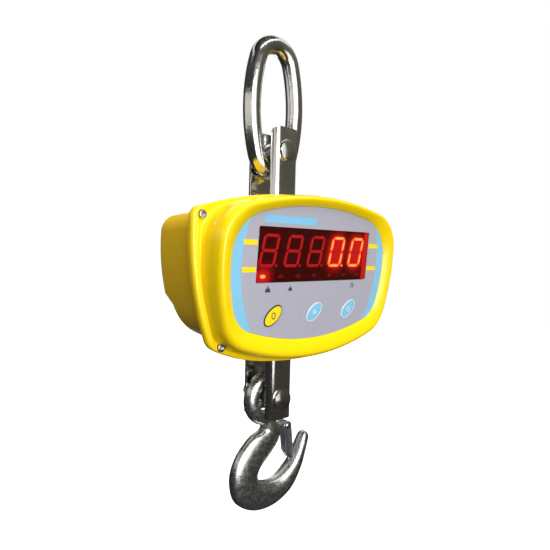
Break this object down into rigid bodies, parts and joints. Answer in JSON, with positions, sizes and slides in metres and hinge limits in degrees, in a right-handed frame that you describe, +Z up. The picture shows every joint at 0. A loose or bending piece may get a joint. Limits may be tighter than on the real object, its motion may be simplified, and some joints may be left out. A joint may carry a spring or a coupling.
{
  "type": "crane scale",
  "caption": "Hanging crane scale: lifting link, forked load cell in a moulded housing with a lit display and keys, and a latched hook.",
  "frame": {"origin": "inside top of the lifting link, where a crane hook bears, on the column's axis", "axes": "+Z up along the column, -Y towards the viewer out of the display, +X to the viewer's right"},
  "size_m": [0.2536, 0.117, 0.4981],
  "materials": {
    "link_chrome": "bright plated forging",
    "cell_chrome": "plated and polished bar",
    "pin_chrome": "polished",
    "hook_chrome": "plated forging with a mottled skin",
    "latch_zinc": "zinc-plated sheet",
    "steel": "plain steel",
    "spring_steel": "oiled wire",
    "yellow_front": "glossy moulding",
    "yellow_rear": "glossy moulding",
    "rubber": "matte",
    "battery": "shrink sleeve",
    "black_plastic": "moulded",
    "panel_grey": "satin sheet",
    "overlay": "printed satin film",
    "window": "dark red lens",
    "digit_red": "lit segments",
    "lamp_red": "lamp lens",
    "board_green": "solder mask",
    "key_yellow": "domed film",
    "key_blue": "domed film"
  },
  "bodies": {
    "link": {"lifting_link": "link_chrome"},
    "scale": {"load_cell": "cell_chrome", "gauge_covers": "steel", "upper_pin": "pin_chrome", "upper_nut": "pin_chrome", "lower_pin": "pin_chrome", "lower_nut": "pin_chrome", "front_cover": "yellow_front", "rear_casing": "yellow_rear", "casing_gasket": "rubber", "cover_screws": "steel", "column_seals": "rubber", "battery_cover": "yellow_rear", "battery_screws": "steel", "battery_pack": "battery", "charge_socket": "black_plastic", "charge_nut": "steel", "panel_plate": "panel_grey", "panel_overlay": "overlay", "display_window": "window", "led_digits": "digit_red", "indicator_lamps": "lamp_red", "display_board": "board_green", "board_posts": "steel", "key_switches": "black_plastic", "main_board": "board_green", "board_spacers": "steel", "cell_brackets": "steel", "bracket_screws": "steel"},
    "swivel_hook": {"hook": "hook_chrome", "latch_pin": "steel", "latch_spring": "spring_steel"},
    "throat_latch": {"latch": "latch_zinc"},
    "zero_button": {"zero_key": "key_yellow"},
    "hold_button": {"hold_key": "key_blue"},
    "power_button": {"power_key": "key_blue"}
  },
  "joints": [
    {"name": "link_swing", "type": "hinge", "parent": "link", "child": "scale", "pos_m": [0, 0, -0.101], "axis": [0, 1, 0], "range_deg": [-60, 60]},
    {"name": "hook_swing", "type": "hinge", "parent": "scale", "child": "swivel_hook", "pos_m": [0, 0, -0.356], "axis": [0, 1, 0], "range_deg": [-60, 60]},
    {"name": "latch_open", "type": "hinge", "parent": "swivel_hook", "child": "throat_latch", "pos_m": [0.0265, 0, -0.3945], "axis": [0, 1, 0], "range_deg": [0, 40], "stiffness_Nm_per_rad": 0.04, "springref_deg": -28.65},
    {"name": "zero_press", "type": "slide", "parent": "scale", "child": "zero_button", "axis": [0, 0.9969, 0.0785], "range_m": [0, 0.0005], "stiffness_N_per_m": 600, "springref_m": -0.0005},
    {"name": "hold_press", "type": "slide", "parent": "scale", "child": "hold_button", "axis": [0, 0.9969, 0.0785], "range_m": [0, 0.0005], "stiffness_N_per_m": 600, "springref_m": -0.0005},
    {"name": "power_press", "type": "slide", "parent": "scale", "child": "power_button", "axis": [0, 0.9969, 0.0785], "range_m": [0, 0.0005], "stiffness_N_per_m": 600, "springref_m": -0.0005}
  ]
}
